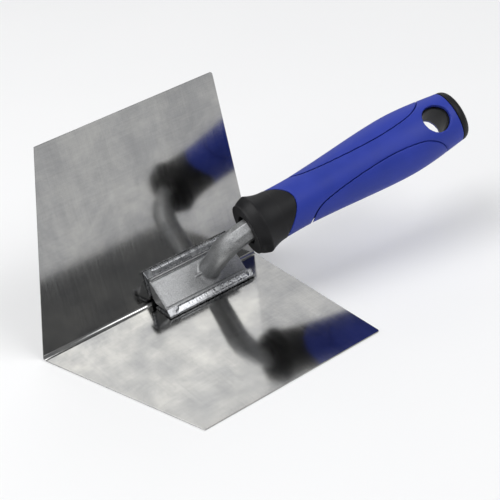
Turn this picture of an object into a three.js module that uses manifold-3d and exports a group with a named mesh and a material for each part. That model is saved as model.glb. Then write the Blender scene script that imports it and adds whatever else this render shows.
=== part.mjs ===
// Inside corner trowel: a bent stainless blade, a cast shank crimped onto its fold by two
// sheet-steel clips, and a two-colour moulded handle with two grip pads.
//
// Tool frame: +X runs along the fold from the nose to the handle, +Y is sideways towards the
// upper wing, and +Z is the bisector of the wings, pointing into the corner. Handle pieces
// have a frame of their own: +X along the handle axis from the mouth of the collar.
// The finished tool is turned about X until its lower wing lies flat. Millimetres throughout.

import * as THREE from 'three';
import { mergeVertices } from 'three/addons/utils/BufferGeometryUtils.js';
import Module from 'manifold-3d';

const wasm = await Module();
wasm.setup();

const degree = Math.PI / 180;

// Clearance between neighbouring pieces
const gap = 0.3;

// Blade
const bladeLength = 127;          // along the fold
const wingWidth = 102;            // from the sharp fold line to the outer edge
const includedAngle = 96 * degree;
const sheetThickness = 0.6;
const foldRadius = 2;             // inside the bend
const noseSetback = 27;           // how far each front edge slopes back at its outer end

// Clips that hold the casting's foot
const clipThickness = 0.8;
const clipLength = 51.5;
const clipRearMargin = 13.2;      // from the clips' rear ends to the rear edge of the blade
const clipInnerEdge = 5;          // along the wing, where the hidden flange starts
const clipOuterEdge = 19.6;       // along the wing, where the lip folds over
const lipWidth = 5.1;
const lipTilt = 11 * degree;      // slope of the lip from the casting down to the wing

// Casting: foot, bent shank and hidden tang
const footInset = 1.2;            // foot ends inside the clips' ends by this much
const footBottom = 3.4;           // above the sharp fold line
const plateauDrop = 1.5;          // from the raised shoulders down to the plateau between them
const shoulderWidth = 0.8;        // strip of raised foot left showing beside each lip
const shankRadius = 5.4;
const shankSetback = 32.2;        // from the rear edge of the blade to the upright shank
const shankRootDepth = 3;         // the shank starts this far inside the foot
const bendStart = 33.1;           // above the sharp fold line
const bendRadius = 21;
const rootFillet = 2;
const tangStep = 1;               // the tang is this much thinner all round than the shank
const tangLength = 60;            // straight run inside the handle

// Handle, measured from the mouth of the collar
const handlePitch = 11.7 * degree;
const mouthLead = 7.4;            // the mouth lies this far before the end of the bend
const handleLength = 125.4;
const mouthClearance = 2.3;       // between the shank and the mouth
const mouthDepth = 11;
const collarFaceWidth = 4.1;      // flat ring around the mouth
const collarRimPlace = 6;
const collarFlare = 2.8;          // how far the rim stands out from the neck
const collarEnd = 16;             // where the flare has faded into the neck
const collarEase = 0.6;           // rounding of the collar's edges
const neckPlace = 26;
const neckRadius = 12.5;
const neckFlare = 0.6;            // the neck is this much wider where it leaves the mouth
const palmPlace = 44;             // the hollow for the fingers fades out here
const palmRadius = 13.4;
const swellPlace = 89;
const swellRadius = 16.45;
const tailDome = 4;               // length of the rounded end
const tailRadius = 13.6;
const tailFaceRadius = 9.6;
const neckHeightRatio = 0.97;     // height over width at the neck
const tailHeightRatio = 0.84;     // height over width at the tail

// Soft sleeve, pads and hang hole
const tongueLength = 9.6;         // how far the collar reaches back along the top and underside
const tailCapLength = 4.9;        // of the core left bare at the tail
const sleeveWall = 3;
const padThickness = 1.4;
const padStart = 29.8;
const padTailMargin = 15.6;       // from the pads' rear ends to the end of the handle
const padNearest = 5.8;           // smallest distance from a pad's edge to the middle of the top
const holeMargin = 15.7;          // from the middle of the hang hole to the end of the handle
const holeRadius = 6.7;           // through the core
const holeLip = 0.7;              // the sleeve's hole is wider all round by this much

// Numbers of facets
const roundSegments = 36;
const arcSteps = 6;
const holeSegments = 24;
const shankSegments = 16;
const tangSegments = 8;

// Sizes that follow from the ones above
const halfAngle = includedAngle / 2;
const clipFront = bladeLength - clipRearMargin - clipLength;
const shankPlace = bladeLength - shankSetback;
const tangRadius = shankRadius - tangStep;
const mouthRadius = shankRadius + mouthClearance;
const collarFaceRadius = mouthRadius + collarFaceWidth;
const collarRimRadius = neckRadius + collarFlare;
const tailPlace = handleLength - tailDome;
const sleeveSideStart = collarEnd - gap / 3;
const sleeveTopStart = sleeveSideStart + tongueLength;
const sleeveEnd = handleLength - tailCapLength;
const padEnd = handleLength - padTailMargin;
const holePlace = handleLength - holeMargin;

// ---- helpers -------------------------------------------------------------------------------

// A closed three.js geometry as a solid that can be joined and cut.
function solidOf(geometry) {
  const bare = geometry.index ? geometry.toNonIndexed() : geometry.clone();
  bare.deleteAttribute('normal');
  bare.deleteAttribute('uv');
  const merged = mergeVertices(bare, 1e-4);
  return new wasm.Manifold(new wasm.Mesh({
    numProp: 3,
    vertProperties: new Float32Array(merged.attributes.position.array),
    triVerts: new Uint32Array(merged.index.array),
  }));
}

function geometryOf(solid) {
  const mesh = solid.getMesh();
  const places = new Float32Array(mesh.vertProperties);
  const geometry = new THREE.BufferGeometry();
  geometry.setAttribute('position', new THREE.BufferAttribute(places, 3));
  geometry.setIndex(new THREE.BufferAttribute(new Uint32Array(mesh.triVerts), 1));
  geometry.computeVertexNormals();
  return geometry;
}

function shapeOf(points) {
  return new THREE.Shape(points.map(([x, y]) => new THREE.Vector2(x, y)));
}

// A shape drawn in (sideways, up) and extruded along +X.
function alongX(shape, start, length) {
  const settings = { depth: length, bevelEnabled: false, curveSegments: arcSteps };
  const geometry = new THREE.ExtrudeGeometry(shape, settings);
  const turn = new THREE.Matrix4().makeBasis(
    new THREE.Vector3(0, 1, 0),
    new THREE.Vector3(0, 0, 1),
    new THREE.Vector3(1, 0, 0),
  );
  return geometry.applyMatrix4(turn).translate(start, 0, 0);
}

// A shape drawn in (along, sideways) and extruded up and down through the handle.
function throughHandle(shape) {
  const reach = 2 * Math.max(swellRadius, collarRimRadius);
  const settings = { depth: 2 * reach, bevelEnabled: false, curveSegments: arcSteps };
  return new THREE.ExtrudeGeometry(shape, settings).translate(0, 0, -reach);
}

// A profile of [place along X, radius] pairs turned around X.
function turned(profile) {
  const points = profile.map(([place, radius]) => new THREE.Vector2(radius, place));
  return new THREE.LatheGeometry(points, roundSegments).rotateZ(-Math.PI / 2);
}

function mapVertices(geometry, change) {
  const place = geometry.attributes.position;
  const point = new THREE.Vector3();
  for (let i = 0; i < place.count; i += 1) {
    point.fromBufferAttribute(place, i);
    change(point);
    place.setXYZ(i, point.x, point.y, point.z);
  }
  return geometry;
}

function meetingPoint(a, b, c, d) {
  const across = (b[0] - a[0]) * (d[1] - c[1]) - (b[1] - a[1]) * (d[0] - c[0]);
  const share = ((c[0] - a[0]) * (d[1] - c[1]) - (c[1] - a[1]) * (d[0] - c[0])) / across;
  return [a[0] + share * (b[0] - a[0]), a[1] + share * (b[1] - a[1])];
}

// ---- blade ---------------------------------------------------------------------------------

// A point beside the +Y wing: its distance along the wing and its height above the inner face.
function byWing(along, above) {
  return [
    along * Math.sin(halfAngle) - above * Math.cos(halfAngle),
    along * Math.cos(halfAngle) + above * Math.sin(halfAngle),
  ];
}

function mirrored(points) {
  return points.map(([side, up]) => [-side, up]).reverse();
}

// One face of the sheet on the +Y side, from the fold to the outer edge.
function sheetFace(above) {
  const radius = foldRadius - above;
  const centre = foldRadius / Math.sin(halfAngle);
  const points = [];
  for (let i = 0; i <= arcSteps; i += 1) {
    const angle = (Math.PI / 2 - halfAngle) * (i / arcSteps);
    points.push([radius * Math.sin(angle), centre - radius * Math.cos(angle)]);
  }
  points.push(byWing(wingWidth, above));
  return points;
}

function bladeGeometry() {
  const inner = sheetFace(0);
  const outer = sheetFace(-sheetThickness);
  const section = [
    ...outer,
    ...inner.slice(1).reverse(),
    inner[0],
    ...mirrored(inner.slice(1)).reverse(),
    ...mirrored(outer.slice(1)),
  ];
  const outerEdge = byWing(wingWidth, 0)[0];
  return mapVertices(alongX(shapeOf(section), 0, bladeLength), (point) => {
    const nose = noseSetback * Math.abs(point.y) / outerEdge;
    point.x = Math.max(point.x, nose);
  });
}

// ---- clips ---------------------------------------------------------------------------------

// The lip's upper face runs from the outer corner of the clip up to its free edge.
function lipLine(depth) {
  const corner = byWing(clipOuterEdge, gap);
  const run = [-Math.cos(lipTilt), Math.sin(lipTilt)];
  const down = [-depth * Math.sin(lipTilt), -depth * Math.cos(lipTilt)];
  const start = [corner[0] + down[0], corner[1] + down[1]];
  return [start, [start[0] + lipWidth * run[0], start[1] + lipWidth * run[1]]];
}

function clipGeometry(side) {
  const corner = byWing(clipOuterEdge, gap);
  const beforeCorner = byWing(clipOuterEdge - clipThickness, gap);
  const [top, topEnd] = lipLine(0);
  const [under, underEnd] = lipLine(clipThickness);
  const roundness = clipThickness / lipWidth;
  const afterCorner = [
    top[0] + roundness * (topEnd[0] - top[0]),
    top[1] + roundness * (topEnd[1] - top[1]),
  ];
  const innerTop = gap + clipThickness;
  const fold = meetingPoint(byWing(0, innerTop), byWing(1, innerTop), under, underEnd);
  const inner = byWing(clipInnerEdge, gap);
  const innerUpper = byWing(clipInnerEdge, innerTop);
  const shape = new THREE.Shape();
  shape.moveTo(side * inner[0], inner[1]);
  shape.lineTo(side * beforeCorner[0], beforeCorner[1]);
  shape.quadraticCurveTo(side * corner[0], corner[1], side * afterCorner[0], afterCorner[1]);
  shape.lineTo(side * topEnd[0], topEnd[1]);
  shape.lineTo(side * underEnd[0], underEnd[1]);
  shape.lineTo(side * fold[0], fold[1]);
  shape.lineTo(side * innerUpper[0], innerUpper[1]);
  return alongX(shape, clipFront, clipLength);
}

// ---- casting -------------------------------------------------------------------------------

// The top of the raised strip beside a lip, level with the lip's underside.
function shoulderTop() {
  const [under, underEnd] = lipLine(clipThickness + gap);
  const side = underEnd[0] - shoulderWidth;
  return meetingPoint(under, underEnd, [side, 0], [side, 1]);
}

function plateauHeight() {
  return shoulderTop()[1] - plateauDrop;
}

function footGeometry() {
  const rise = 2 * gap + clipThickness;
  const flankLow = meetingPoint(byWing(0, rise), byWing(1, rise), [0, footBottom], [1, footBottom]);
  const [under, underEnd] = lipLine(clipThickness + gap);
  const flankHigh = meetingPoint(byWing(0, rise), byWing(1, rise), under, underEnd);
  const shoulder = shoulderTop();
  const half = [flankLow, flankHigh, shoulder, [shoulder[0], plateauHeight()]];
  return alongX(shapeOf([...half, ...mirrored(half)]), clipFront + footInset, clipLength - 2 * footInset);
}

// Where the bend ends and the straight tang begins, in the plane of the fold and the bisector.
function bendEnd() {
  return [
    shankPlace + bendRadius * (1 - Math.sin(handlePitch)),
    bendStart + bendRadius * Math.cos(handlePitch),
  ];
}

function shankPath() {
  const path = new THREE.CurvePath();
  const root = new THREE.Vector3(shankPlace, 0, plateauHeight() - shankRootDepth);
  path.add(new THREE.LineCurve3(root, new THREE.Vector3(shankPlace, 0, bendStart)));
  const bend = new THREE.EllipseCurve(
    shankPlace + bendRadius, bendStart, bendRadius, bendRadius, Math.PI, Math.PI / 2 + handlePitch, true,
  );
  const bendPoints = bend.getPoints(2 * arcSteps).map(({ x, y }) => new THREE.Vector3(x, 0, y));
  for (let i = 1; i < bendPoints.length; i += 1) {
    path.add(new THREE.LineCurve3(bendPoints[i - 1], bendPoints[i]));
  }
  return path;
}

function circle(radius, sides) {
  const points = [];
  for (let i = 0; i < sides; i += 1) {
    const angle = 2 * Math.PI * (i + 0.5) / sides;
    points.push([radius * Math.cos(angle), radius * Math.sin(angle)]);
  }
  return points;
}

// The straight tang inside the handle, an octagon whose flats lie at a radius.
function tangShape(radius) {
  return shapeOf(circle(radius / Math.cos(Math.PI / tangSegments), tangSegments));
}

function castingGeometry() {
  const shank = new THREE.ExtrudeGeometry(shapeOf(circle(shankRadius, shankSegments)), {
    steps: 5 * arcSteps, extrudePath: shankPath(), bevelEnabled: false,
  });
  const fillet = [[0, 0]];
  for (let i = 0; i <= arcSteps; i += 1) {
    const angle = (Math.PI / 2) * (i / arcSteps);
    fillet.push([rootFillet * (1 - Math.cos(angle)), shankRadius + rootFillet * (1 - Math.sin(angle))]);
  }
  fillet.push([rootFillet, 0]);
  const sunk = 0.01;
  const skirt = turned(fillet).rotateY(-Math.PI / 2).translate(shankPlace, 0, plateauHeight() - sunk);
  const [endPlace, endHeight] = bendEnd();
  const overlap = 2;
  const tang = alongX(tangShape(tangRadius), -overlap, tangLength + overlap)
    .rotateY(-handlePitch)
    .translate(endPlace, 0, endHeight);
  return geometryOf(solidOf(footGeometry()).add(solidOf(shank)).add(solidOf(skirt)).add(solidOf(tang)));
}

// ---- handle --------------------------------------------------------------------------------

// The handle is slightly lower than it is wide, more so towards the tail.
function flatten(geometry) {
  return mapVertices(geometry, (point) => {
    const share = THREE.MathUtils.smoothstep(point.x, neckPlace, tailPlace);
    point.z *= THREE.MathUtils.lerp(neckHeightRatio, tailHeightRatio, share);
  });
}

// The outer skin of the grip from the mouth to the tail, moved inwards by a depth.
function gripBody(depth) {
  const waist = new THREE.SplineCurve([
    new THREE.Vector2(0, neckRadius + neckFlare),
    new THREE.Vector2(neckPlace, neckRadius),
    new THREE.Vector2(palmPlace, palmRadius),
    new THREE.Vector2(swellPlace, swellRadius),
    new THREE.Vector2(tailPlace, tailRadius),
  ]);
  const profile = waist.getPoints(24).map(({ x, y }) => [x, y - depth]);
  profile.unshift([0, 0]);
  const edge = tailRadius - tailFaceRadius;
  const run = handleLength - depth - tailPlace;
  for (let i = 1; i <= arcSteps; i += 1) {
    const angle = (Math.PI / 2) * (i / arcSteps);
    profile.push([
      tailPlace + run * Math.sin(angle),
      tailFaceRadius - depth + edge * Math.cos(angle),
    ]);
  }
  profile.push([handleLength - depth, 0]);
  return solidOf(flatten(turned(profile)));
}

// Everything between two places along the handle.
function slab(start, end) {
  const width = 4 * swellRadius;
  const box = new THREE.BoxGeometry(end - start, width, width);
  return solidOf(box.translate((start + end) / 2, 0, 0));
}

// A cone from the face to the rim, then a flare that runs out into the neck.
function collarBody() {
  const flareStart = collarRimPlace + 3 * collarEase;
  const flareTop = collarRimRadius - collarEase / 2;
  const flareFoot = neckRadius + collarEase / 2;
  const profile = [
    [0, 0],
    [0, collarFaceRadius - collarEase],
    [collarEase, collarFaceRadius],
    [collarRimPlace - collarEase, flareTop],
    [collarRimPlace + collarEase, collarRimRadius],
  ];
  for (let i = 0; i <= arcSteps; i += 1) {
    const share = i / arcSteps;
    profile.push([
      THREE.MathUtils.lerp(flareStart, collarEnd, share),
      THREE.MathUtils.lerp(flareTop, flareFoot, share * (2 - share)),
    ]);
  }
  profile.push([collarEnd, 0]);
  return solidOf(flatten(turned(profile)));
}

// Seen from above, the collar reaches back under the sleeve as a parabola.
function tongueRegion(clearance) {
  const halfWidth = 2 * neckRadius;
  const fall = (sleeveTopStart - sleeveSideStart) / neckRadius ** 2;
  const points = [[-1, -halfWidth], [-1, halfWidth]];
  for (let i = 2 * arcSteps; i >= -2 * arcSteps; i -= 1) {
    const side = halfWidth * i / (2 * arcSteps);
    points.push([Math.max(sleeveTopStart - fall * side * side, 0) + clearance, side]);
  }
  return solidOf(throughHandle(shapeOf(points)));
}

// Seen from above, each pad is a leaf whose edge comes nearest to the middle at the swell.
function padRegion(side, clearance) {
  const shape = new THREE.Shape();
  const outside = side * 2 * swellRadius;
  const bow = padEnd - padStart;
  shape.moveTo(padStart - clearance, outside);
  shape.lineTo(padStart - clearance, side * (neckRadius + 0.4 - clearance));
  shape.splineThru([
    new THREE.Vector2(padStart + 0.1 * bow - clearance, side * (padNearest + 3.2 - clearance)),
    new THREE.Vector2(padStart + 0.33 * bow, side * (padNearest + 0.9 - clearance)),
    new THREE.Vector2(padStart + 0.6 * bow, side * (padNearest - clearance)),
    new THREE.Vector2(padStart + 0.82 * bow, side * (padNearest + 1.5 - clearance)),
    new THREE.Vector2(padStart + 0.93 * bow + clearance / 2, side * (padNearest + 4.6 - clearance)),
    new THREE.Vector2(padEnd + clearance, side * (padNearest + 9.4 - clearance)),
  ]);
  shape.lineTo(padEnd + clearance, outside);
  return solidOf(throughHandle(shape));
}

function holeSolid(radius) {
  return solidOf(throughHandle(shapeOf(circle(radius, holeSegments))).translate(holePlace, 0, 0));
}

function tangSocket() {
  const start = mouthDepth / 2;
  const end = mouthLead + tangLength + gap;
  return solidOf(alongX(tangShape(tangRadius + gap), start, end - start));
}

function coreGeometry() {
  const mouth = solidOf(turned([
    [-gap, 0], [-gap, mouthRadius], [mouthDepth, mouthRadius], [mouthDepth, 0],
  ]));
  const tongue = gripBody(0).intersect(tongueRegion(0));
  const tailCap = gripBody(0).intersect(slab(sleeveEnd + gap, 2 * handleLength));
  return geometryOf(
    gripBody(sleeveWall + gap).add(collarBody()).add(tongue).add(tailCap)
      .subtract(mouth).subtract(tangSocket()).subtract(holeSolid(holeRadius)),
  );
}

function sleeveGeometry() {
  const recessFloor = gripBody(padThickness + gap);
  const recesses = [-1, 1].map((side) => padRegion(side, gap).subtract(recessFloor));
  return geometryOf(
    gripBody(0)
      .intersect(slab(sleeveSideStart + gap, sleeveEnd))
      .subtract(tongueRegion(gap))
      .subtract(gripBody(sleeveWall))
      .subtract(recesses[0])
      .subtract(recesses[1])
      .subtract(holeSolid(holeRadius + holeLip)),
  );
}

function padGeometry(side) {
  return geometryOf(gripBody(0).subtract(gripBody(padThickness)).intersect(padRegion(side, 0)));
}

// ---- materials -----------------------------------------------------------------------------

function stainless() {
  return new THREE.MeshStandardMaterial({ color: 0xb4b7ba, roughness: 0.3, metalness: 1 });
}

function castAluminium() {
  return new THREE.MeshStandardMaterial({ color: 0x9a9c9e, roughness: 0.6, metalness: 0.9 });
}

function blackPlastic() {
  return new THREE.MeshStandardMaterial({ color: 0x1e1e20, roughness: 0.55, metalness: 0 });
}

function blueRubber() {
  return new THREE.MeshStandardMaterial({ color: 0x2f3f9e, roughness: 0.55, metalness: 0 });
}

// ---- assembly ------------------------------------------------------------------------------

function piece(name, geometry, material) {
  const mesh = new THREE.Mesh(geometry, material);
  mesh.name = name;
  return mesh;
}

function handleGroup() {
  const [endPlace, endHeight] = bendEnd();
  const handle = new THREE.Group();
  handle.add(piece('handle_core', coreGeometry(), blackPlastic()));
  handle.add(piece('grip_sleeve', sleeveGeometry(), blueRubber()));
  handle.add(piece('grip_pad_lower', padGeometry(-1), blueRubber()));
  handle.add(piece('grip_pad_upper', padGeometry(1), blueRubber()));
  handle.rotation.y = -handlePitch;
  handle.position.set(
    endPlace - mouthLead * Math.cos(handlePitch),
    0,
    endHeight - mouthLead * Math.sin(handlePitch),
  );
  return handle;
}

function toolGroup() {
  const tool = new THREE.Group();
  tool.add(piece('blade', bladeGeometry(), stainless()));
  tool.add(piece('clip_lower', clipGeometry(-1), stainless()));
  tool.add(piece('clip_upper', clipGeometry(1), stainless()));
  tool.add(piece('shank_casting', castingGeometry(), castAluminium()));
  tool.add(handleGroup());
  tool.rotation.x = Math.PI / 2 - halfAngle;
  return tool;
}

// The origin is under the middle of the tool, on the surface that its lower wing lies on.
const trowel = new THREE.Group();
const tool = toolGroup();
trowel.add(tool);
trowel.updateMatrixWorld(true);
const extent = new THREE.Box3().setFromObject(tool, true);
const middle = extent.getCenter(new THREE.Vector3());
tool.position.set(-middle.x, -middle.y, -extent.min.z);
trowel.updateMatrixWorld(true);

export default trowel;
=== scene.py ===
import math
import bpy
from mathutils import Matrix, Vector


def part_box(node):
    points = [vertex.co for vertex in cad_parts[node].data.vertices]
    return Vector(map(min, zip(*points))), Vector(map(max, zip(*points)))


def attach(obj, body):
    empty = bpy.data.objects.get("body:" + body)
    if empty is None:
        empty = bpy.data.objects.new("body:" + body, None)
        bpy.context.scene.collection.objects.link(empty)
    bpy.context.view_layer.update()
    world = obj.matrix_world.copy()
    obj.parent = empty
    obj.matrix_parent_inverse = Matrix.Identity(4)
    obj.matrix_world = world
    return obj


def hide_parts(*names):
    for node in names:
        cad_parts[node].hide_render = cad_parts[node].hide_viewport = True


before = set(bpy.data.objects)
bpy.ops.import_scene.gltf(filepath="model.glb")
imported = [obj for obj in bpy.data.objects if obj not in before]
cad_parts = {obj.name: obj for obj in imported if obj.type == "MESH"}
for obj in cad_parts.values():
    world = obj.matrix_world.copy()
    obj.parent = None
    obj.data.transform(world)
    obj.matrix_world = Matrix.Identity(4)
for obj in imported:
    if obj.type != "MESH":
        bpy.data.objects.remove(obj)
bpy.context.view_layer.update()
print("frame loaded:", ", ".join(sorted(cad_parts)))

mm = 0.001
degree = math.pi / 180


# helpers that pick parts of a piece and work on them with operators

def pickOnly(piece):
    bpy.ops.object.select_all(action="DESELECT")
    piece.select_set(True)
    bpy.context.view_layer.objects.active = piece


def beginEdit(piece):
    pickOnly(piece)
    bpy.ops.object.mode_set(mode="EDIT")


def endEdit():
    bpy.ops.object.mode_set(mode="OBJECT")


def pickVerts(piece, wanted):
    # called in edit mode: selects the vertices whose place passes the test
    bpy.ops.mesh.select_mode(type="VERT")
    bpy.ops.mesh.select_all(action="DESELECT")
    endEdit()
    for vert in piece.data.vertices:
        vert.select = bool(wanted(vert.co))
    bpy.ops.object.mode_set(mode="EDIT")


def pickEdges(piece, wanted):
    # the same for edges, by their two ends
    bpy.ops.mesh.select_mode(type="EDGE")
    bpy.ops.mesh.select_all(action="DESELECT")
    endEdit()
    verts = piece.data.vertices
    for edge in piece.data.edges:
        edge.select = bool(wanted(verts[edge.vertices[0]].co, verts[edge.vertices[1]].co))
    bpy.ops.object.mode_set(mode="EDIT")


def pickFaces(piece, wanted):
    # the same for faces, by the face itself
    bpy.ops.mesh.select_mode(type="FACE")
    bpy.ops.mesh.select_all(action="DESELECT")
    endEdit()
    for face in piece.data.polygons:
        face.select = bool(wanted(face))
    bpy.ops.object.mode_set(mode="EDIT")


def outlineSolid(name, points, push, steps=1):
    # a vertex drawn out along the outline, closed, filled and pulled into a solid
    points = [Vector(p) for p in points]
    bpy.ops.object.select_all(action="DESELECT")
    bpy.ops.mesh.primitive_plane_add(size=mm, location=points[0])
    piece = bpy.context.object
    piece.name = name
    piece.data.name = name
    bpy.ops.object.transform_apply(location=True, rotation=True, scale=True)
    bpy.ops.object.mode_set(mode="EDIT")
    bpy.ops.mesh.select_mode(type="VERT")
    bpy.ops.mesh.select_all(action="SELECT")
    bpy.ops.mesh.merge(type="CENTER")
    for here, there in zip(points, points[1:] + points[:1]):
        bpy.ops.mesh.extrude_vertices_move(
            TRANSFORM_OT_translate={"value": there - here})
    bpy.ops.mesh.select_all(action="SELECT")
    bpy.ops.mesh.remove_doubles(threshold=0.001 * mm)
    bpy.ops.mesh.select_all(action="SELECT")
    bpy.ops.mesh.edge_face_add()
    for _ in range(steps):
        bpy.ops.mesh.extrude_region_move(
            TRANSFORM_OT_translate={"value": Vector(push) / steps})
    bpy.ops.mesh.select_all(action="SELECT")
    bpy.ops.mesh.remove_doubles(threshold=0.001 * mm)
    bpy.ops.mesh.normals_make_consistent(inside=False)
    endEdit()
    return piece


def ringSolid(name, rings, count):
    # rings along X, each (place, half width, half height), pulled one out of the other
    place, side, height = rings[0]
    bpy.ops.object.select_all(action="DESELECT")
    bpy.ops.mesh.primitive_circle_add(
        vertices=count, radius=1, fill_type="NGON", rotation=(0, math.pi / 2, 0))
    piece = bpy.context.object
    piece.name = name
    piece.data.name = name
    piece.scale = (height, side, 1)
    piece.location = (place, 0, 0)
    bpy.ops.object.transform_apply(location=True, rotation=True, scale=True)
    bpy.ops.object.mode_set(mode="EDIT")
    bpy.ops.mesh.select_all(action="SELECT")
    for nextPlace, nextSide, nextHeight in rings[1:]:
        bpy.ops.mesh.extrude_region_move(
            TRANSFORM_OT_translate={"value": (nextPlace - place, 0, 0)})
        bpy.ops.transform.resize(
            value=(1, nextSide / side, nextHeight / height), center_override=(nextPlace, 0, 0))
        place, side, height = nextPlace, nextSide, nextHeight
    bpy.ops.mesh.select_all(action="SELECT")
    bpy.ops.mesh.normals_make_consistent(inside=False)
    endEdit()
    return piece


def duplicateOf(piece, name):
    pickOnly(piece)
    bpy.ops.object.duplicate(linked=False)
    copy = bpy.context.object
    copy.name = name
    copy.data.name = name
    return copy


def combine(piece, other, operation):
    pickOnly(piece)
    bpy.ops.object.modifier_add(type="BOOLEAN")
    join = piece.modifiers[-1]
    join.operation = operation
    join.solver = "MANIFOLD"
    join.object = other
    bpy.ops.object.modifier_apply(modifier=join.name)
    bpy.data.objects.remove(other)
    return piece


def evenSkin(piece, voxel, rounds):
    # one closed skin of small even faces, with its edges softened
    pickOnly(piece)
    bpy.ops.object.modifier_add(type="REMESH")
    remesh = piece.modifiers[-1]
    remesh.mode = "VOXEL"
    remesh.voxel_size = voxel
    bpy.ops.object.modifier_apply(modifier=remesh.name)
    bpy.ops.object.modifier_add(type="SMOOTH")
    smooth = piece.modifiers[-1]
    smooth.factor = 0.5
    smooth.iterations = rounds
    bpy.ops.object.modifier_apply(modifier=smooth.name)
    return piece


def settle(piece, place, angle=None):
    # puts the piece in its place in the row frame and shades it
    piece.matrix_world = place
    pickOnly(piece)
    bpy.ops.object.transform_apply(location=True, rotation=True, scale=True)
    if angle is None:
        bpy.ops.object.shade_smooth()
    else:
        bpy.ops.object.shade_smooth_by_angle(angle=angle)
    return piece


def smoothRun(points, steps):
    # an even curve through the points
    points = [Vector(p) for p in points]
    last = len(points) - 1
    run = [points[0]]
    for i in range(last):
        before, a, b = points[max(i - 1, 0)], points[i], points[i + 1]
        after = points[min(i + 2, last)]
        leave, arrive = (b - before) / 2, (after - a) / 2
        for k in range(1, steps + 1):
            t = k / steps
            run.append((2 * a - 2 * b + leave + arrive) * t ** 3
                       + (-3 * a + 3 * b - 2 * leave - arrive) * t ** 2 + leave * t + a)
    return run


def eased(value, low, high):
    t = min(max((value - low) / (high - low), 0), 1)
    return t * t * (3 - 2 * t)


# shared surface effects

def newGroup(name, inputs, outputs):
    group = bpy.data.node_groups.new(name, "ShaderNodeTree")
    for label, kind, start in inputs:
        socket = group.interface.new_socket(name=label, in_out="INPUT", socket_type=kind)
        if start is not None:
            socket.default_value = start
    for label, kind in outputs:
        group.interface.new_socket(name=label, in_out="OUTPUT", socket_type=kind)
    return group, group.nodes.new("NodeGroupInput"), group.nodes.new("NodeGroupOutput")


def feed(tree, node, inputs):
    # each input is linked when it is given a socket, and set when it is given a value
    for key, value in inputs.items():
        if isinstance(value, bpy.types.NodeSocket):
            tree.links.new(value, node.inputs[key])
        else:
            node.inputs[key].default_value = value
    return node


def addNode(tree, kind, inputs, **settings):
    node = tree.nodes.new(kind)
    for key, value in settings.items():
        setattr(node, key, value)
    return feed(tree, node, inputs)


def buildGrain():
    # fine uneven skin: fine height, and a slow blotch mask
    group, given, out = newGroup("fineGrain", [
        ("Vector", "NodeSocketVector", None),
        ("Scale", "NodeSocketFloat", 1500.0),
        ("Blotch Scale", "NodeSocketFloat", 60.0),
    ], [("Height", "NodeSocketFloat"), ("Blotch", "NodeSocketFloat")])
    fine = addNode(group, "ShaderNodeTexNoise", {
        "Vector": given.outputs["Vector"], "Scale": given.outputs["Scale"],
        "Detail": 3.0, "Roughness": 0.6})
    slow = addNode(group, "ShaderNodeTexNoise", {
        "Vector": given.outputs["Vector"], "Scale": given.outputs["Blotch Scale"],
        "Detail": 4.0, "Roughness": 0.55, "Distortion": 0.4})
    group.links.new(fine.outputs["Fac"], out.inputs["Height"])
    group.links.new(slow.outputs["Fac"], out.inputs["Blotch"])
    return group


def buildBrushing():
    # long fine lines left by the finishing belt, and slower bands under them
    group, given, out = newGroup("beltLines", [
        ("Vector", "NodeSocketVector", None),
        ("Across", "NodeSocketFloat", 2600.0),
        ("Along", "NodeSocketFloat", 25.0),
    ], [("Lines", "NodeSocketFloat"), ("Bands", "NodeSocketFloat")])
    stretch = addNode(group, "ShaderNodeCombineXYZ", {
        "X": given.outputs["Across"], "Y": given.outputs["Along"], "Z": given.outputs["Along"]})
    drawn = addNode(group, "ShaderNodeVectorMath", {
        0: given.outputs["Vector"], 1: stretch.outputs["Vector"]}, operation="MULTIPLY")
    lines = addNode(group, "ShaderNodeTexNoise", {
        "Vector": drawn.outputs["Vector"], "Scale": 1.0, "Detail": 4.0, "Roughness": 0.65})
    wide = addNode(group, "ShaderNodeVectorMath", {
        0: drawn.outputs["Vector"], 1: (0.055, 0.25, 0.25)}, operation="MULTIPLY")
    bands = addNode(group, "ShaderNodeTexNoise", {
        "Vector": wide.outputs["Vector"], "Scale": 1.0, "Detail": 3.0, "Roughness": 0.5})
    group.links.new(lines.outputs["Fac"], out.inputs["Lines"])
    group.links.new(bands.outputs["Fac"], out.inputs["Bands"])
    return group


grainGroup = buildGrain()
beltGroup = buildBrushing()


def newFinish(name):
    material = bpy.data.materials.new(name)
    material.use_nodes = True
    tree = material.node_tree
    shader = tree.nodes["Principled BSDF"]
    place = tree.nodes.new("ShaderNodeTexCoord").outputs["Object"]
    return material, tree, shader, place


def placeGroup(tree, group, inputs):
    node = tree.nodes.new("ShaderNodeGroup")
    node.node_tree = group
    return feed(tree, node, inputs)


def ramp(tree, source, low, high, start, end):
    # a value spread from one range to another
    return addNode(tree, "ShaderNodeMapRange", {
        "Value": source, "From Min": low, "From Max": high, "To Min": start, "To Max": end,
    }).outputs["Result"]


def tint(tree, source, first, second):
    return addNode(tree, "ShaderNodeMix", {
        "Factor": source, "A": (*first, 1), "B": (*second, 1)}, data_type="RGBA").outputs[2]


def addBump(tree, shader, height, depth, strength):
    bump = addNode(tree, "ShaderNodeBump", {
        "Height": height, "Distance": depth, "Strength": strength})
    tree.links.new(bump.outputs["Normal"], shader.inputs["Normal"])


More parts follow.
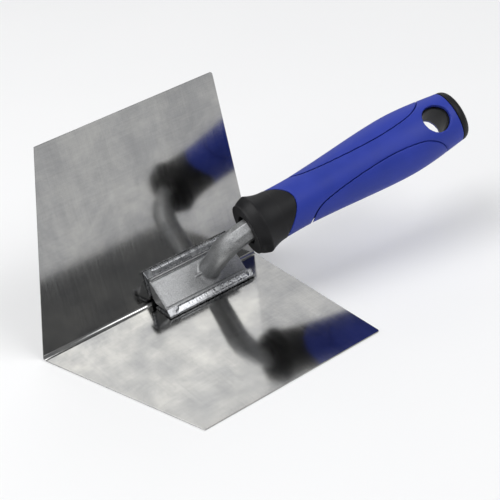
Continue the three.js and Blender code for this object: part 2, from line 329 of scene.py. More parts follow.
def bladeFinish():
    look = {"dark": (0.285, 0.287, 0.289), "light": (0.445, 0.44, 0.422),
            "bandDark": (0.28, 0.282, 0.285), "bandLight": (0.45, 0.45, 0.445),
            "hatchDark": (0.1, 0.1, 0.1), "hatchLight": (0.8, 0.8, 0.79), "streak": 0.3,
            "smooth": 0.10, "rough": 0.155, "lineDepth": 0.004 * mm, "lineStrength": 0.25,
            "scratch": 0.05}
    material, tree, shader, place = newFinish("bladeSteel")
    belt = placeGroup(tree, beltGroup, {"Vector": place, "Across": 1500.0, "Along": 22.0})
    cross = placeGroup(tree, beltGroup, {"Vector": place, "Across": 26.0, "Along": 1300.0})
    cloud = addNode(tree, "ShaderNodeTexNoise", {
        "Vector": place, "Scale": 42.0, "Detail": 8.0, "Roughness": 0.68, "Distortion": 0.25})
    colour = tint(tree, ramp(tree, cloud.outputs["Fac"], 0.38, 0.62, 0, 1),
                  look["dark"], look["light"])
    streaked = addNode(tree, "ShaderNodeMix", {
        "Factor": look["streak"], "A": colour,
        "B": tint(tree, ramp(tree, belt.outputs["Bands"], 0.3, 0.7, 0, 1),
                  look["bandDark"], look["bandLight"])}, data_type="RGBA")
    hatch = addNode(tree, "ShaderNodeMath", {                # fine lines both ways
        0: belt.outputs["Lines"], 1: cross.outputs["Lines"]}, operation="ADD")
    scratched = addNode(tree, "ShaderNodeMix", {
        "Factor": look["scratch"], "A": streaked.outputs[2],
        "B": tint(tree, ramp(tree, hatch.outputs["Value"], 0.8, 1.2, 0, 1),
                  look["hatchDark"], look["hatchLight"])}, data_type="RGBA")
    tree.links.new(scratched.outputs[2], shader.inputs["Base Color"])
    tree.links.new(ramp(tree, belt.outputs["Lines"], 0.3, 0.7, look["smooth"], look["rough"]),
                   shader.inputs["Roughness"])
    addBump(tree, shader, belt.outputs["Lines"], look["lineDepth"], look["lineStrength"])
    shader.inputs["Metallic"].default_value = 1.0
    return material


def clipFinish():
    look = {"dark": (0.24, 0.246, 0.258), "light": (0.43, 0.436, 0.447), "smooth": 0.22,
            "rough": 0.33, "dent": 0.045 * mm, "dentStrength": 0.3}
    material, tree, shader, place = newFinish("clipSteel")
    grain = placeGroup(tree, grainGroup, {"Vector": place, "Scale": 3000.0, "Blotch Scale": 420.0})
    colour = tint(tree, ramp(tree, grain.outputs["Blotch"], 0.35, 0.65, 0, 1),
                  look["dark"], look["light"])
    tree.links.new(colour, shader.inputs["Base Color"])
    tree.links.new(ramp(tree, grain.outputs["Blotch"], 0.3, 0.7, look["smooth"], look["rough"]),
                   shader.inputs["Roughness"])
    addBump(tree, shader, grain.outputs["Blotch"], look["dent"], look["dentStrength"])
    shader.inputs["Metallic"].default_value = 1.0
    return material


def castingFinish():
    look = {"dark": (0.27, 0.275, 0.28), "light": (0.51, 0.515, 0.52), "smooth": 0.42,
            "rough": 0.51, "grain": 0.17 * mm, "grainStrength": 0.55, "metal": 0.85}
    material, tree, shader, place = newFinish("castAluminium")
    grain = placeGroup(tree, grainGroup, {"Vector": place, "Scale": 2100.0, "Blotch Scale": 240.0})
    speckle = addNode(tree, "ShaderNodeMath", {
        0: grain.outputs["Blotch"], 1: 0.3, 2: grain.outputs["Height"]}, operation="MULTIPLY_ADD")
    colour = tint(tree, ramp(tree, speckle.outputs["Value"], 0.5, 0.8, 0, 1),
                  look["dark"], look["light"])
    tree.links.new(colour, shader.inputs["Base Color"])
    tree.links.new(ramp(tree, grain.outputs["Blotch"], 0.3, 0.7, look["smooth"], look["rough"]),
                   shader.inputs["Roughness"])
    addBump(tree, shader, speckle.outputs["Value"], look["grain"], look["grainStrength"])
    shader.inputs["Metallic"].default_value = look["metal"]
    return material


def moulded(name, look):
    # a moulded plastic or rubber: fine spark grain, faint rubbed patches
    material, tree, shader, place = newFinish(name)
    grain = placeGroup(tree, grainGroup, {
        "Vector": place, "Scale": look["grainScale"], "Blotch Scale": look["rubScale"]})
    rub = ramp(tree, grain.outputs["Blotch"], 0.3, 0.7, 0, 1)
    tree.links.new(tint(tree, rub, look["dark"], look["light"]), shader.inputs["Base Color"])
    tree.links.new(ramp(tree, grain.outputs["Blotch"], 0.3, 0.7, look["smooth"], look["rough"]),
                   shader.inputs["Roughness"])
    addBump(tree, shader, grain.outputs["Height"], look["grainDepth"], 0.5)
    shader.inputs["Specular IOR Level"].default_value = look["shine"]
    return material


bladeSteel = bladeFinish()
clipSteel = clipFinish()
castAluminium = castingFinish()
corePlastic = moulded("corePlastic", {
    "dark": (0.006, 0.006, 0.007), "light": (0.010, 0.010, 0.011), "smooth": 0.44, "rough": 0.56,
    "grainScale": 2600.0, "rubScale": 70.0, "grainDepth": 0.05 * mm, "shine": 0.25})
gripSoft = moulded("gripSoft", {
    "dark": (0.014, 0.033, 0.29), "light": (0.020, 0.041, 0.35), "smooth": 0.42, "rough": 0.55,
    "grainScale": 2200.0, "rubScale": 55.0, "grainDepth": 0.05 * mm, "shine": 0.32})
print("finishes built")


# where things go: the tool's own frame runs along the fold, sideways, and into the corner

tool = {
    "halfAngle": 48 * degree,
    "bladeLength": 127 * mm,
    "wingWidth": 102 * mm,
    "sheet": 0.6 * mm,
    "clearance": 0.3 * mm,
}
halfSine, halfCosine = math.sin(tool["halfAngle"]), math.cos(tool["halfAngle"])
bladeLow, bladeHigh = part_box("blade")
overSquare = 2 * tool["halfAngle"] - math.pi / 2      # how far the upper wing leans outwards
foldSide = (bladeHigh.y - tool["wingWidth"] * math.sin(overSquare)
            - tool["sheet"] * math.cos(overSquare))
toolPlace = (Matrix.Translation((bladeLow.x, foldSide, bladeLow.z + tool["sheet"]))
             @ Matrix.Rotation(math.pi / 2 - tool["halfAngle"], 4, "X"))


def byWing(along, above, side=1):
    # sideways and up, from a distance along a wing and a height over its inner face
    return Vector((side * (along * halfSine - above * halfCosine),
                   along * halfCosine + above * halfSine))


def makeBlade():
    blade = {"foldRadius": 2 * mm, "noseSetback": 27 * mm, "tipRadius": 1.3 * mm,
             "tipSteps": 5, "tipZone": 2 * mm, "edgeBevel": 0.1 * mm, "edgeSteps": 2,
             "edgeAngle": 50 * degree, "shadeAngle": 25 * degree, "foldSteps": 14,
             "flatArea": 40 * mm * mm}

    def face(above):
        radius = blade["foldRadius"] - above
        centre = blade["foldRadius"] / halfSine
        turn = math.pi / 2 - tool["halfAngle"]
        points = []
        for i in range(blade["foldSteps"] + 1):
            angle = turn * i / blade["foldSteps"]
            points.append(Vector((radius * math.sin(angle), centre - radius * math.cos(angle))))
        points.append(byWing(tool["wingWidth"], above))
        return points

    inner, outer = face(0), face(-tool["sheet"])
    half = outer + inner[::-1]
    other = [Vector((-p.x, p.y)) for p in inner[1:]] + [Vector((-p.x, p.y)) for p in outer[:0:-1]]
    section = [(0, p.x, p.y) for p in half + other]
    piece = outlineSolid("bladeSheet", section, (tool["bladeLength"], 0, 0))
    slope = blade["noseSetback"] / byWing(tool["wingWidth"], 0).x
    near = 0.001 * mm
    beginEdit(piece)                                   # the front face is parted at the fold
    pickVerts(piece, lambda co: co.x < near and abs(co.y) < near)
    bpy.ops.mesh.vert_connect()
    endEdit()
    for reach in sorted({abs(point[1]) for point in section}):
        beginEdit(piece)                               # and each wing's front edge drawn back
        pickVerts(piece, lambda co: co.x < near and abs(abs(co.y) - reach) < near)
        bpy.ops.transform.translate(value=(slope * reach, 0, 0))
        endEdit()
    tipHeight = byWing(tool["wingWidth"], 0).y - blade["tipZone"]

    def tip(a, b):
        return (min(a.z, b.z) > tipHeight and (a - b).length < 1.2 * tool["sheet"]
                and abs(a.x - b.x) < 0.05 * mm)

    beginEdit(piece)
    pickEdges(piece, tip)
    bpy.ops.mesh.bevel(offset=blade["tipRadius"], segments=blade["tipSteps"], affect="EDGES")
    endEdit()
    pickOnly(piece)
    bpy.ops.object.modifier_add(type="BEVEL")
    bevel = piece.modifiers[-1]
    bevel.width = blade["edgeBevel"]
    bevel.segments = blade["edgeSteps"]
    bevel.limit_method = "ANGLE"
    bevel.angle_limit = blade["edgeAngle"]
    bpy.ops.object.modifier_apply(modifier=bevel.name)
    settle(piece, toolPlace, blade["shadeAngle"])
    beginEdit(piece)                                   # the wings stay truly flat
    pickFaces(piece, lambda face: face.area > blade["flatArea"])
    bpy.ops.mesh.faces_shade_flat()
    endEdit()
    return piece


bladeSheet = makeBlade()
print("blade made")


clip = {"thickness": 0.8 * mm, "length": 51.5 * mm, "rearMargin": 13.2 * mm, "inner": 5 * mm,
        "outer": 19.6 * mm, "lip": 5.1 * mm, "tilt": 11 * degree}
clip["front"] = tool["bladeLength"] - clip["rearMargin"] - clip["length"]


def lipLine(depth):
    # from the clip's outer corner up the lip, at a depth under its upper face
    corner = byWing(clip["outer"], tool["clearance"])
    run = Vector((-math.cos(clip["tilt"]), math.sin(clip["tilt"])))
    start = corner - depth * Vector((math.sin(clip["tilt"]), math.cos(clip["tilt"])))
    return start, start + clip["lip"] * run, run


def meeting(a, b, c, d):
    across = (b.x - a.x) * (d.y - c.y) - (b.y - a.y) * (d.x - c.x)
    share = ((c.x - a.x) * (d.y - c.y) - (c.y - a.y) * (d.x - c.x)) / across
    return a + share * (b - a)


def makeClip(name, side):
    press = {"round": 1.5 * mm, "step": 0.3 * mm, "band": (1.9 * mm, 4.75 * mm),
             "bandDepth": (0.06 * mm, 0.34 * mm), "bandSlant": 0.6, "tiltSteps": 9,
             "frontTab": 5 * mm, "rearTab": 4 * mm, "ridgeSteps": 8,
             "lipWindow": 0.8 * clip["thickness"], "pitch": 1.55 * mm, "cup": 0.9 * mm,
             "cupNarrow": 0.62, "cupDepth": 0.07 * mm, "nickDepth": 0.3 * mm,
             "skin": 0.21 * mm, "softening": 3}
    low = tool["clearance"]
    top = low + clip["thickness"]
    corner = byWing(clip["outer"], low)
    before = byWing(clip["outer"] - press["round"], low)
    upper, upperEnd, run = lipLine(0)
    under, underEnd = lipLine(clip["thickness"])[:2]
    after = upper + press["round"] * run
    section = [byWing(clip["inner"], low)]
    for i in range(press["ridgeSteps"] + 1):           # round outer ridge
        t = i / press["ridgeSteps"]
        section.append((1 - t) ** 2 * before + 2 * t * (1 - t) * corner + t * t * after)
    lipSteps = round((clip["lip"] - press["round"]) / press["step"])
    for i in range(1, lipSteps + 1):
        section.append(after + (upperEnd - after) * i / lipSteps)
    section.append(underEnd)
    section.append(meeting(byWing(0, top), byWing(1, top), under, underEnd))
    section.append(byWing(clip["inner"], top))
    piece = outlineSolid(name, [(clip["front"], side * p.x, p.y) for p in section],
                         (clip["length"], 0, 0), steps=round(clip["length"] / press["step"]))
    rise = Vector((math.sin(clip["tilt"]), math.cos(clip["tilt"])))
    bandFront = clip["front"] + press["frontTab"]
    bandRear = clip["front"] + clip["length"] - press["rearTab"]

    def onLip(co):
        # how far up the lip a point near its upper face lies, or -1 elsewhere
        flat = Vector((side * co.y, co.z)) - upper
        return flat.dot(run) if abs(flat.dot(rise)) < press["lipWindow"] else -1

    def push(wanted, depth):
        beginEdit(piece)
        pickVerts(piece, wanted)
        bpy.ops.transform.translate(
            value=(0, -side * depth * rise.x, -depth * rise.y))
        endEdit()

    def inBand(co):
        up = onLip(co)
        slant = press["bandSlant"] * (up - press["band"][0])   # the band's front end runs at a slant
        return (press["band"][0] < up < press["band"][1]
                and bandFront + slant < co.x < bandRear)

    def inCup(co, cups, share):
        up = onLip(co)
        return up > 0 and any(
            math.hypot((co.x - x) / press["cupNarrow"], up - y) < share * radius for x, y, radius in cups)

    push(inBand, press["bandDepth"][0])
    start, end = press["band"]
    deepen = (press["bandDepth"][1] - press["bandDepth"][0]) / press["tiltSteps"]
    for i in range(press["tiltSteps"]):                # both bands lean the same way in the corner
        beyond = start + (end - start) * (i + 0.5) / press["tiltSteps"]
        push(lambda co: inBand(co) and (
            onLip(co) > beyond if side < 0 else onLip(co) < start + end - beyond), deepen)
    count = round((bandRear - bandFront) / press["pitch"]) - 1
    middle = sum(press["band"]) / 2
    deep, shallow = [], []
    for i in range(count):                             # uneven hammer marks along the band
        x = bandFront + (i + 1.1) * press["pitch"] + 0.2 * mm * math.sin(5.1 * i)
        y = middle + 0.45 * mm * math.sin(2.3 * i)
        radius = press["cup"] * (1 + 0.25 * math.sin(3.7 * i))
        (deep if math.sin(1.9 * i) > -0.2 else shallow).append((x, y, radius))
    for share in (1.0, 0.7, 0.4):
        push(lambda co: inCup(co, deep, share), press["cupDepth"] / 3)
        push(lambda co: inCup(co, shallow, share), press["cupDepth"] / 6)
    nicks = [(bandFront - 0.2 * mm, 2.3 * mm, 0.75 * mm), (bandRear + 0.9 * mm, 3.2 * mm, 1.1 * mm)]
    for share in (1.0, 0.55):
        push(lambda co: inCup(co, nicks, share), press["nickDepth"] / 2)
    evenSkin(piece, press["skin"], press["softening"])
    return settle(piece, toolPlace)


clipLower = makeClip("clipLower", -1)
clipUpper = makeClip("clipUpper", 1)
print("clips made")


# the casting is the foot, the shank and the tang inside the handle

shank = {"radius": 5.4 * mm, "setback": 32.2 * mm, "bendStart": 33.1 * mm, "bendRadius": 21 * mm,
         "fillet": 2 * mm, "pitch": 11.7 * degree, "mouthLead": 7.4 * mm, "tangStep": 1 * mm,
         "tangLength": 60 * mm, "bendSteps": 18, "flatsFrom": 9, "skin": 0.305 * mm}
shank["place"] = tool["bladeLength"] - shank["setback"]
bendEnd = Vector((shank["place"] + shank["bendRadius"] * (1 - math.sin(shank["pitch"])), 0,
                  shank["bendStart"] + shank["bendRadius"] * math.cos(shank["pitch"])))
handleAxis = Vector((math.cos(shank["pitch"]), 0, math.sin(shank["pitch"])))
handlePlace = (toolPlace @ Matrix.Translation(bendEnd - shank["mouthLead"] * handleAxis)
               @ Matrix.Rotation(-shank["pitch"], 4, "Y"))


def makeFoot():
    foot = {"inset": 1.2 * mm, "bottom": 3.4 * mm, "shoulder": 0.8 * mm, "drop": 1.5 * mm,
            "chamfer": 0.75 * mm, "groove": 0.7 * mm, "grooveDepth": 0.6 * mm}
    rise = 2 * tool["clearance"] + clip["thickness"]
    wingLine = (byWing(0, rise), byWing(1, rise))
    flankLow = meeting(*wingLine, Vector((0, foot["bottom"])), Vector((1, foot["bottom"])))
    under, underEnd = lipLine(clip["thickness"] + tool["clearance"])[:2]
    flankHigh = meeting(*wingLine, under, underEnd)
    shoulderSide = underEnd.x - foot["shoulder"]
    shoulder = meeting(under, underEnd, Vector((shoulderSide, 0)), Vector((shoulderSide, 1)))
    plateau = shoulder.y - foot["drop"]
    grooveSide = shoulderSide - foot["groove"]         # sunk line at the foot of each shoulder
    grooveFloor = plateau - foot["grooveDepth"]
    half = [flankLow, flankHigh, shoulder, Vector((shoulderSide, grooveFloor)),
            Vector((grooveSide, grooveFloor)), Vector((grooveSide, plateau))]
    section = half + [Vector((-p.x, p.y)) for p in half[::-1]]
    front = clip["front"] + foot["inset"]
    length = clip["length"] - 2 * foot["inset"]
    piece = outlineSolid("shankCasting", [(front, p.x, p.y) for p in section], (length, 0, 0))

    def plateauEnd(a, b):
        return (abs(a.x - b.x) < 0.01 * mm and min(a.z, b.z) > plateau - 0.01 * mm
                and abs(a.y - b.y) > 0.1 * mm)

    beginEdit(piece)                                   # chamfers across both ends of the top
    pickEdges(piece, plateauEnd)
    bpy.ops.mesh.bevel(offset=foot["chamfer"], segments=1, affect="EDGES")
    endEdit()
    return piece, plateau


def sweptRod(name, path, widths, sides, turned):
    # a curve with a thickness at each point, made a closed mesh
    line = bpy.data.curves.new(name, "CURVE")
    line.dimensions = "3D"
    spline = line.splines.new("POLY")
    spline.points.add(len(path) - 1)
    for point, place, width in zip(spline.points, path, widths):
        point.co = (*place, 1)
        point.radius = width
        point.tilt = turned
    line.bevel_depth = shank["radius"]
    line.bevel_resolution = sides // 2 - 2
    line.use_fill_caps = True
    rod = bpy.data.objects.new(name, line)
    bpy.context.scene.collection.objects.link(rod)
    pickOnly(rod)
    bpy.ops.object.convert(target="MESH")
    rod = bpy.context.object
    beginEdit(rod)
    bpy.ops.mesh.select_all(action="SELECT")
    bpy.ops.mesh.remove_doubles(threshold=0.001 * mm)
    bpy.ops.mesh.normals_make_consistent(inside=False)
    endEdit()
    return rod


def bendPoint(angle):
    return Vector((shank["place"] + shank["bendRadius"] * (1 - math.cos(angle)), 0,
                   shank["bendStart"] + shank["bendRadius"] * math.sin(angle)))


def makeStem(plateau):
    # flared root, straight stem and the full first half of the bend
    stem = {"root": 1 * mm, "rootHeight": 2.6 * mm, "rootSteps": 12, "straightSteps": 6,
            "slim": 0.985, "full": 1.06, "fullest": 1.11, "fallOff": 0.03, "sides": 28}
    path, widths = [], []
    for i in range(stem["rootSteps"] + 1):
        up = (i / stem["rootSteps"]) ** 1.5 * stem["rootHeight"]
        flare = max(0, 1 - up / shank["fillet"])
        path.append(Vector((shank["place"], 0, plateau + up)))
        widths.append(stem["slim"]
                      + shank["fillet"] / shank["radius"] * (1 - math.sqrt(1 - flare ** 2)))
    path.insert(0, path[0] - Vector((0, 0, stem["root"])))
    widths.insert(0, widths[0])
    straight = shank["bendStart"] - plateau - stem["rootHeight"]
    steps = stem["straightSteps"]
    for i in range(1, steps + 1):
        path.append(Vector((shank["place"], 0,
                            plateau + stem["rootHeight"] + straight * i / steps)))
        widths.append(stem["slim"] + (stem["full"] - stem["slim"]) * eased(i / steps, 0, 1))
    turn = math.pi / 2 - shank["pitch"]
    for i in range(1, shank["flatsFrom"] + 2):
        path.append(bendPoint(turn * i / shank["bendSteps"]))
        rise = math.sin(math.pi * min(i / (shank["flatsFrom"] + 1), 1))
        widths.append(stem["full"] + (stem["fullest"] - stem["full"]) * rise
                      - stem["fallOff"] * eased(i, shank["flatsFrom"] / 2, shank["flatsFrom"]))
    return sweptRod("stem", path, widths, stem["sides"], 0)


def makeTang():
    # flats left by the jaws that held the shank while the handle was pressed on
    # the tang starts wider than the socket makeCore cuts, and overlaps it 11 to 29 mm in
    tang = {"corner": 1.065, "neck": 1.0, "middle": 0.9, "deep": 0.8, "step": 4 * mm, "sides": 8}
    turn = math.pi / 2 - shank["pitch"]
    path = [bendPoint(turn * i / shank["bendSteps"])
            for i in range(shank["flatsFrom"], shank["bendSteps"] + 1)]
    widths = [tang["corner"]] * len(path)
    for reach, width in ((tang["step"], tang["neck"]), (tang["step"], tang["middle"]),
                         (shank["tangLength"] - 2 * tang["step"], tang["deep"])):
        path.append(path[-1] + reach * handleAxis)
        widths.append(width)
    return sweptRod("tang", path, widths, tang["sides"], math.pi / tang["sides"])


def makeCasting():
    fin = {"length": 5 * mm, "height": 2.2 * mm, "width": 0.9 * mm, "sunk": 0.5 * mm}
    piece, plateau = makeFoot()
    # the parting line ends in a small fin at the front of the root
    reach = shank["place"] - shank["radius"]
    ridge = outlineSolid("fin", [
        (reach - fin["length"], -fin["width"] / 2, plateau - fin["sunk"]),
        (reach + fin["width"], -fin["width"] / 2, plateau - fin["sunk"]),
        (reach + fin["width"], -fin["width"] / 2, plateau + fin["height"])],
        (0, fin["width"], 0))
    parts = (makeStem(plateau), makeTang(), ridge, piece)
    bpy.ops.object.select_all(action="DESELECT")
    for part in parts:
        part.select_set(True)
    bpy.context.view_layer.objects.active = piece
    bpy.ops.object.join()
    evenSkin(piece, shank["skin"], 1)
    return settle(piece, toolPlace)


shankCasting = makeCasting()
print("casting made,", len(shankCasting.data.polygons), "faces")


# the handle's own frame runs along its axis from the mouth of the collar

handle = {
    "length": 125.4 * mm, "mouthRadius": 7.3 * mm, "mouthDepth": 11 * mm,
    "faceEdge": 11.2 * mm, "faceArc": 52 * degree, "rimPlace": 6 * mm,
    "rimRadius": 15.3 * mm, "collarEnd": 16 * mm, "faceSteps": 12, "flareSteps": 14,
    "ease": 0.6 * mm, "neckPlace": 26 * mm, "neckRadius": 12.5 * mm, "neckFlare": 0.6 * mm,
    "palmPlace": 44 * mm, "palmRadius": 13.4 * mm, "swellPlace": 89 * mm,
    "swellRadius": 16.45 * mm, "dome": 4 * mm, "tailRadius": 13.6 * mm,
    "tailFaceRadius": 9.6 * mm, "neckRatio": 0.97, "tailRatio": 0.84,
    "tongue": 9.6 * mm, "tailCap": 4.9 * mm, "wall": 3 * mm, "padDepth": 1.4 * mm,
    "padStart": 29.8 * mm, "padTail": 15.6 * mm, "padNearest": 5.8 * mm,
    "holeMargin": 15.7 * mm, "holeRadius": 6.7 * mm, "holeLip": 0.7 * mm,
    "gap": 0.3 * mm, "seam": 0.1 * mm, "segments": 96, "plugSides": 64,
    "reach": 30 * mm, "ahead": 2 * mm, "socketStart": 5 * mm, "tongueSteps": 30,
    "padSkin": 0.4 * mm, "coreSkin": 0.43 * mm, "sleeveSkin": 0.47 * mm,
}
tailPlace = handle["length"] - handle["dome"]
sleeveStart = handle["collarEnd"] - handle["gap"] / 3
holePlace = handle["length"] - handle["holeMargin"]
padEnd = handle["length"] - handle["padTail"]


def flattened(place, radius):
    share = eased(place, handle["neckPlace"], tailPlace)
    ratio = handle["neckRatio"] + (handle["tailRatio"] - handle["neckRatio"]) * share
    return (place, radius, radius * ratio)


def gripProfile():
    waist = smoothRun([
        (0, handle["neckRadius"] + handle["neckFlare"]),
        (handle["neckPlace"], handle["neckRadius"]),
        (handle["palmPlace"], handle["palmRadius"]),
        (handle["swellPlace"], handle["swellRadius"]),
        (tailPlace, handle["tailRadius"])], 14)
    rings = [(p.x, p.y) for p in waist]
    edge = handle["tailRadius"] - handle["tailFaceRadius"]
    for i in range(1, 11):
        angle = math.pi / 2 * i / 10
        rings.append((tailPlace + handle["dome"] * math.sin(angle),
                      handle["tailFaceRadius"] + edge * math.cos(angle)))
    return rings


def gripBody(depth):
    rings = []
    for place, radius in gripProfile():
        if place > tailPlace:
            share = (place - tailPlace) / handle["dome"]
            place = tailPlace + share * (handle["dome"] - depth)
        rings.append(flattened(place, radius - depth))
    return ringSolid("gripBody", rings, handle["segments"])


def slab(start, end):
    reach = handle["reach"]
    bpy.ops.object.select_all(action="DESELECT")
    bpy.ops.mesh.primitive_cube_add(size=1, location=((start + end) / 2, 0, 0),
                                    scale=(end - start, 2 * reach, 2 * reach))
    bpy.ops.object.transform_apply(location=True, rotation=True, scale=True)
    return bpy.context.object


def throughHandle(name, outline):
    reach = handle["reach"]
    return outlineSolid(name, [(x, y, -reach) for x, y in outline], (0, 0, 2 * reach))


def tongueRegion(clearance):
    # from above, the collar reaches back under the sleeve as a parabola
    halfWidth = 2 * handle["neckRadius"]
    far = sleeveStart + handle["tongue"]
    fall = handle["tongue"] / handle["neckRadius"] ** 2
    steps = handle["tongueSteps"]
    outline = [(-handle["ahead"], -halfWidth), (-handle["ahead"], halfWidth)]
    for i in range(steps, -steps - 1, -1):
        side = halfWidth * i / steps
        outline.append((max(far - fall * side * side, 0) + clearance, side))
    return throughHandle("tongueRegion", outline)


def padRegion(side, clearance):
    # from above, a leaf whose edge comes nearest to the middle at the swell
    outside = side * 2 * handle["swellRadius"]
    start, near = handle["padStart"], handle["padNearest"]
    bow = padEnd - start
    first = Vector((start - clearance, side * (handle["neckRadius"] + 0.4 * mm - clearance)))
    edge = smoothRun([
        first,
        (start + 0.1 * bow - clearance, side * (near + 3.2 * mm - clearance)),
        (start + 0.33 * bow, side * (near + 0.9 * mm - clearance)),
        (start + 0.6 * bow, side * (near - clearance)),
        (start + 0.82 * bow, side * (near + 1.5 * mm - clearance)),
        (start + 0.93 * bow + clearance / 2, side * (near + 4.6 * mm - clearance)),
        (padEnd + clearance, side * (near + 9.4 * mm - clearance))], 10)
    outline = [(start - clearance, outside)] + [(p.x, p.y) for p in edge]
    outline.append((padEnd + clearance, outside))
    return throughHandle("padRegion", outline)


def holeSolid(radius):
    reach = handle["reach"]
    bpy.ops.object.select_all(action="DESELECT")
    bpy.ops.mesh.primitive_cylinder_add(vertices=handle["plugSides"], radius=radius, depth=2 * reach,
                                        location=(holePlace, 0, 0))
    bpy.ops.object.transform_apply(location=True, rotation=True, scale=True)
    return bpy.context.object


def collarBody():
    # a full front up to the ridge, then a flare that runs out into the neck
    ease, rim, face = handle["ease"], handle["rimPlace"], handle["faceEdge"]
    flareStart = rim + ease
    flareTop = handle["rimRadius"] - ease / 2
    flareFoot = handle["neckRadius"] + ease / 2
    arc = handle["faceArc"]
    profile = [(0, face)]
    for i in range(1, handle["faceSteps"] + 1):
        angle = arc * i / handle["faceSteps"]
        profile.append((rim * (1 - math.cos(angle)) / (1 - math.cos(arc)),
                        face + (handle["rimRadius"] - face) * math.sin(angle) / math.sin(arc)))
    for i in range(handle["flareSteps"] + 1):
        share = i / handle["flareSteps"]
        profile.append((flareStart + (handle["collarEnd"] - flareStart) * share,
                        flareTop + (flareFoot - flareTop) * share * (2 - share)))
    return ringSolid("collarBody", [flattened(*p) for p in profile], handle["segments"])


def turnedPlug(start, end, radius):
    bpy.ops.object.select_all(action="DESELECT")
    bpy.ops.mesh.primitive_cylinder_add(
        vertices=handle["plugSides"], radius=radius, depth=end - start, location=((start + end) / 2, 0, 0),
        rotation=(0, math.pi / 2, 0))
    bpy.ops.object.transform_apply(location=True, rotation=True, scale=True)
    return bpy.context.object


def makePad(name, side, outer):
    piece = duplicateOf(outer, name)
    combine(piece, gripBody(handle["padDepth"]), "DIFFERENCE")
    combine(piece, padRegion(side, 0), "INTERSECT")
    evenSkin(piece, handle["padSkin"], 2)
    return settle(piece, handlePlace)


def makeSleeve(outer):
    gap = handle["gap"]
    piece = duplicateOf(outer, "gripSleeve")
    seam = handle["seam"]
    combine(piece, slab(sleeveStart + seam, handle["length"] - handle["tailCap"]), "INTERSECT")
    combine(piece, tongueRegion(seam), "DIFFERENCE")
    combine(piece, gripBody(handle["wall"]), "DIFFERENCE")
    for side in (-1, 1):
        recess = padRegion(side, gap)
        combine(recess, gripBody(handle["padDepth"] + gap), "DIFFERENCE")
        combine(piece, recess, "DIFFERENCE")
    combine(piece, holeSolid(handle["holeRadius"] + handle["holeLip"]), "DIFFERENCE")
    evenSkin(piece, handle["sleeveSkin"], 2)
    return settle(piece, handlePlace)


def makeCore(outer):
    gap = handle["gap"]
    tongue = duplicateOf(outer, "tongue")
    combine(tongue, tongueRegion(0), "INTERSECT")
    cap = duplicateOf(outer, "tailCap")
    combine(cap, slab(handle["length"] - handle["tailCap"] + gap, 2 * handle["length"]),
            "INTERSECT")
    piece = gripBody(handle["wall"] + gap)
    piece.name = "handleCore"
    piece.data.name = "handleCore"
    combine(piece, collarBody(), "UNION")
    combine(piece, tongue, "UNION")
    combine(piece, cap, "UNION")
    combine(piece, turnedPlug(-handle["ahead"], handle["mouthDepth"], handle["mouthRadius"]),
            "DIFFERENCE")
    tangRadius = shank["radius"] - shank["tangStep"]
    combine(piece, turnedPlug(handle["socketStart"],
                              shank["mouthLead"] + shank["tangLength"] + gap,
                              tangRadius + gap), "DIFFERENCE")
    combine(piece, holeSolid(handle["holeRadius"]), "DIFFERENCE")
    evenSkin(piece, handle["coreSkin"], 1)
    return settle(piece, handlePlace)


outerSkin = gripBody(0)
gripPadLower = makePad("gripPadLower", -1, outerSkin)
gripPadUpper = makePad("gripPadUpper", 1, outerSkin)
gripSleeve = makeSleeve(outerSkin)
handleCore = makeCore(outerSkin)
bpy.data.objects.remove(outerSkin)
print("handle made:", {p.name: len(p.data.polygons) for p in (
    gripPadLower, gripPadUpper, gripSleeve, handleCore)})


# each piece with its finish, its slot and the node it stands for

dressed = [
    (bladeSheet, bladeSteel, "blade_steel", "blade"),
    (clipLower, clipSteel, "clip_steel", "clip_lower"),
    (clipUpper, clipSteel, "clip_steel", "clip_upper"),
    (shankCasting, castAluminium, "cast_metal", "shank_casting"),
    (handleCore, corePlastic, "core_plastic", "handle_core"),
    (gripSleeve, gripSoft, "grip_soft", "grip_sleeve"),
    (gripPadLower, gripSoft, "grip_soft", "grip_pad_lower"),
    (gripPadUpper, gripSoft, "grip_soft", "grip_pad_upper"),
]
for piece, finish, slotName, node in dressed:
    piece.data.materials.clear()
    piece.data.materials.append(finish)
    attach(piece, "root")
    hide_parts(node)


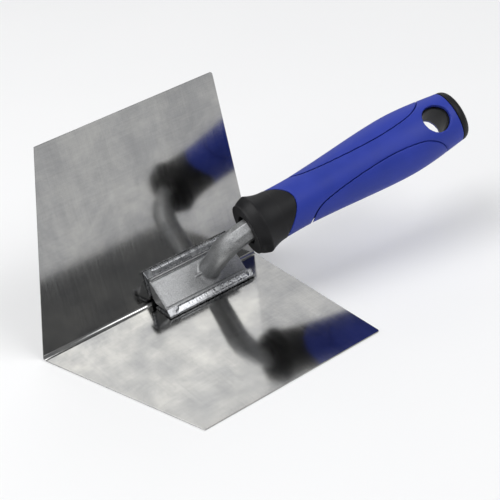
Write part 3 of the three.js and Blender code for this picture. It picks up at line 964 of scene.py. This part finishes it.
def makeFloor():
    bpy.ops.object.select_all(action="DESELECT")
    bpy.ops.mesh.primitive_plane_add(size=6, location=(0, 0, 0))
    floor = bpy.context.object
    floor.name = "floor"
    material, tree, shader, place = newFinish("paleFloor")
    paper = addNode(tree, "ShaderNodeTexNoise", {"Vector": place, "Scale": 6.0, "Detail": 3.0})
    tree.links.new(tint(tree, paper.outputs["Fac"], (0.88, 0.88, 0.88), (0.91, 0.91, 0.91)),
                   shader.inputs["Base Color"])
    shader.inputs["Roughness"].default_value = 0.9
    floor.data.materials.append(material)


def softLight(name, place, aim, width, height, power):
    light = bpy.data.lights.new(name, "AREA")
    light.shape = "RECTANGLE"
    light.size = width
    light.size_y = height
    light.energy = power
    lamp = bpy.data.objects.new(name, light)
    lamp.location = place
    lamp.rotation_euler = (Vector(aim) - Vector(place)).to_track_quat("-Z", "Y").to_euler()
    bpy.context.scene.collection.objects.link(lamp)


def makeStudio():
    studio = {"ambient": (0.75, 0.76, 0.78), "ambientStrength": 0.4}
    world = bpy.data.worlds.new("studio")
    world.use_nodes = True
    back = world.node_tree.nodes["Background"]
    back.inputs["Color"].default_value = (*studio["ambient"], 1)
    back.inputs["Strength"].default_value = studio["ambientStrength"]
    bpy.context.scene.world = world
    softLight("topLight", (-0.6, 0.3, 1.25), (0, 0, 0), 1.1, 1.1, 12)
    softLight("backLight", (0.75, 1.2, 0.85), (0, 0, 0.05), 1.6, 0.8, 3.4)
    softLight("frontLight", (0.587, -0.903, 1.196), (0, 0, 0.02), 1.15, 0.62, 9.2)
    softLight("leftLight", (-1.3, -0.25, 0.65), (0, 0, 0.04), 0.8, 0.6, 2.0)
    bpy.context.scene.view_settings.view_transform = "Standard"


def makeCamera():
    view = {"place": (-0.28778675, -0.46415683, 0.36281327),
            "turn": (58.28330602, 8.4091689, -35.49834234), "lens": 95.006, "sensor": 36}
    data = bpy.data.cameras.new("camera")
    data.lens = view["lens"]
    data.sensor_width = view["sensor"]
    data.clip_start = 0.01
    camera = bpy.data.objects.new("camera", data)
    camera.location = view["place"]
    camera.rotation_euler = [a * degree for a in view["turn"]]
    bpy.context.scene.collection.objects.link(camera)
    bpy.context.scene.camera = camera


makeFloor()
makeStudio()
makeCamera()
print("stage set")
